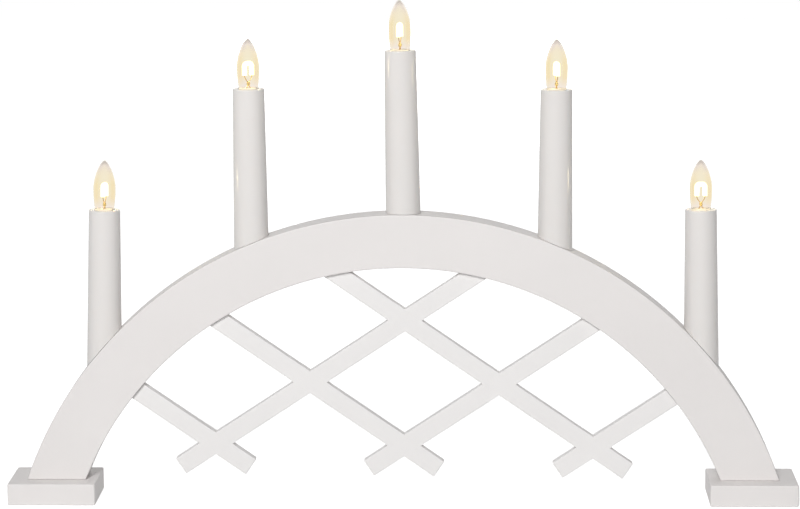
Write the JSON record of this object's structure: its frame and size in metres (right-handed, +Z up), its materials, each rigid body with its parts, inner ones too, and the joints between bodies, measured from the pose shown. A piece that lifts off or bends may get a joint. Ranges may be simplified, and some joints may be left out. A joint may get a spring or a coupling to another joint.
{
  "type": "electric candle bridge",
  "caption": "White wooden arch on foot blocks with a crossed-slat lattice under it, carrying tapered plastic candles with screw-in flame-shaped electric lamps.",
  "frame": {"origin": "on the table plane, midway between the two feet and at the middle of their depth", "axes": "+X to the right seen from the front, -Y towards the front, +Z up"},
  "size_m": [0.5202, 0.05, 0.331],
  "materials": {
    "painted_wood": "satin white paint over wood",
    "candle_plastic": "glossy moulded white",
    "holder_plastic": "moulded off-white, matte",
    "shell_brass": "drawn sheet brass",
    "cap_nickel": "nickel-plated brass",
    "lamp_glass": "clear blown glass, warm tint",
    "lamp_filament": "coated glowing filament on a glass stem",
    "wire_insulation": "soft white insulation",
    "zinc_steel": "zinc plated"
  },
  "bodies": {
    "bridge": {"arch_board": "painted_wood", "foot_left": "painted_wood", "foot_right": "painted_wood", "cord_gland": "holder_plastic", "slat_falling_1": "painted_wood", "slat_falling_2": "painted_wood", "slat_falling_3": "painted_wood", "slat_rising_1": "painted_wood", "slat_rising_2": "painted_wood", "slat_rising_3": "painted_wood", "foot_screw_1": "zinc_steel", "foot_screw_2": "zinc_steel", "foot_screw_3": "zinc_steel", "foot_screw_4": "zinc_steel", "wire_clip_1": "holder_plastic", "wire_clip_2": "holder_plastic", "wire_clip_3": "holder_plastic", "wire_clip_4": "holder_plastic", "wire_clip_5": "holder_plastic", "wire_supply": "wire_insulation", "wire_link_1_2": "wire_insulation", "wire_link_2_3": "wire_insulation", "wire_link_3_4": "wire_insulation", "wire_link_4_5": "wire_insulation", "wire_return": "wire_insulation", "candle_tube_1": "candle_plastic", "candle_peg_1": "holder_plastic", "lamp_holder_1": "holder_plastic", "socket_shell_1": "shell_brass", "candle_tube_2": "candle_plastic", "candle_peg_2": "holder_plastic", "lamp_holder_2": "holder_plastic", "socket_shell_2": "shell_brass", "candle_tube_3": "candle_plastic", "candle_peg_3": "holder_plastic", "lamp_holder_3": "holder_plastic", "socket_shell_3": "shell_brass", "candle_tube_4": "candle_plastic", "candle_peg_4": "holder_plastic", "lamp_holder_4": "holder_plastic", "socket_shell_4": "shell_brass", "candle_tube_5": "candle_plastic", "candle_peg_5": "holder_plastic", "lamp_holder_5": "holder_plastic", "socket_shell_5": "shell_brass"},
    "lamp_1_cap": {"lamp_cap_1": "cap_nickel"},
    "lamp_1_glass": {"lamp_glass_1": "lamp_glass", "lamp_filament_1": "lamp_filament"},
    "lamp_2_cap": {"lamp_cap_2": "cap_nickel"},
    "lamp_2_glass": {"lamp_glass_2": "lamp_glass", "lamp_filament_2": "lamp_filament"},
    "lamp_3_cap": {"lamp_cap_3": "cap_nickel"},
    "lamp_3_glass": {"lamp_glass_3": "lamp_glass", "lamp_filament_3": "lamp_filament"},
    "lamp_4_cap": {"lamp_cap_4": "cap_nickel"},
    "lamp_4_glass": {"lamp_glass_4": "lamp_glass", "lamp_filament_4": "lamp_filament"},
    "lamp_5_cap": {"lamp_cap_5": "cap_nickel"},
    "lamp_5_glass": {"lamp_glass_5": "lamp_glass", "lamp_filament_5": "lamp_filament"}
  },
  "joints": [
    {"name": "lamp_1_lift", "type": "slide", "parent": "bridge", "child": "lamp_1_cap", "axis": [0.0192, 0, 0.9998], "range_m": [0, 0.0073]},
    {"name": "lamp_1_turn", "type": "hinge", "parent": "lamp_1_cap", "child": "lamp_1_glass", "pos_m": [-0.19508, 0, 0.19362], "axis": [0.0192, 0, 0.9998], "range_deg": [0, 1440]},
    {"name": "lamp_2_lift", "type": "slide", "parent": "bridge", "child": "lamp_2_cap", "axis": [-0.007, 0, 1], "range_m": [0, 0.0073]},
    {"name": "lamp_2_turn", "type": "hinge", "parent": "lamp_2_cap", "child": "lamp_2_glass", "pos_m": [-0.09948, 0, 0.27324], "axis": [-0.007, 0, 1], "range_deg": [0, 1440]},
    {"name": "lamp_3_lift", "type": "slide", "parent": "bridge", "child": "lamp_3_cap", "axis": [-0.0148, 0, 0.9999], "range_m": [0, 0.0073]},
    {"name": "lamp_3_turn", "type": "hinge", "parent": "lamp_3_cap", "child": "lamp_3_glass", "pos_m": [-0.00053, 0, 0.29819], "axis": [-0.0148, 0, 0.9999], "range_deg": [0, 1440]},
    {"name": "lamp_4_lift", "type": "slide", "parent": "bridge", "child": "lamp_4_cap", "axis": [0.0061, 0, 1], "range_m": [0, 0.0073]},
    {"name": "lamp_4_turn", "type": "hinge", "parent": "lamp_4_cap", "child": "lamp_4_glass", "pos_m": [0.10105, 0, 0.27257], "axis": [0.0061, 0, 1], "range_deg": [0, 1440]},
    {"name": "lamp_5_lift", "type": "slide", "parent": "bridge", "child": "lamp_5_cap", "axis": [-0.0122, 0, 0.9999], "range_m": [0, 0.0073]},
    {"name": "lamp_5_turn", "type": "hinge", "parent": "lamp_5_cap", "child": "lamp_5_glass", "pos_m": [0.19562, 0, 0.19374], "axis": [-0.0122, 0, 0.9999], "range_deg": [0, 1440]}
  ],
  "couplings": [
    {"joint": "lamp_1_lift", "follows": "lamp_1_turn", "m_per_rad": 0.00028871},
    {"joint": "lamp_2_lift", "follows": "lamp_2_turn", "m_per_rad": 0.00028871},
    {"joint": "lamp_3_lift", "follows": "lamp_3_turn", "m_per_rad": 0.00028871},
    {"joint": "lamp_4_lift", "follows": "lamp_4_turn", "m_per_rad": 0.00028871},
    {"joint": "lamp_5_lift", "follows": "lamp_5_turn", "m_per_rad": 0.00028871}
  ]
}
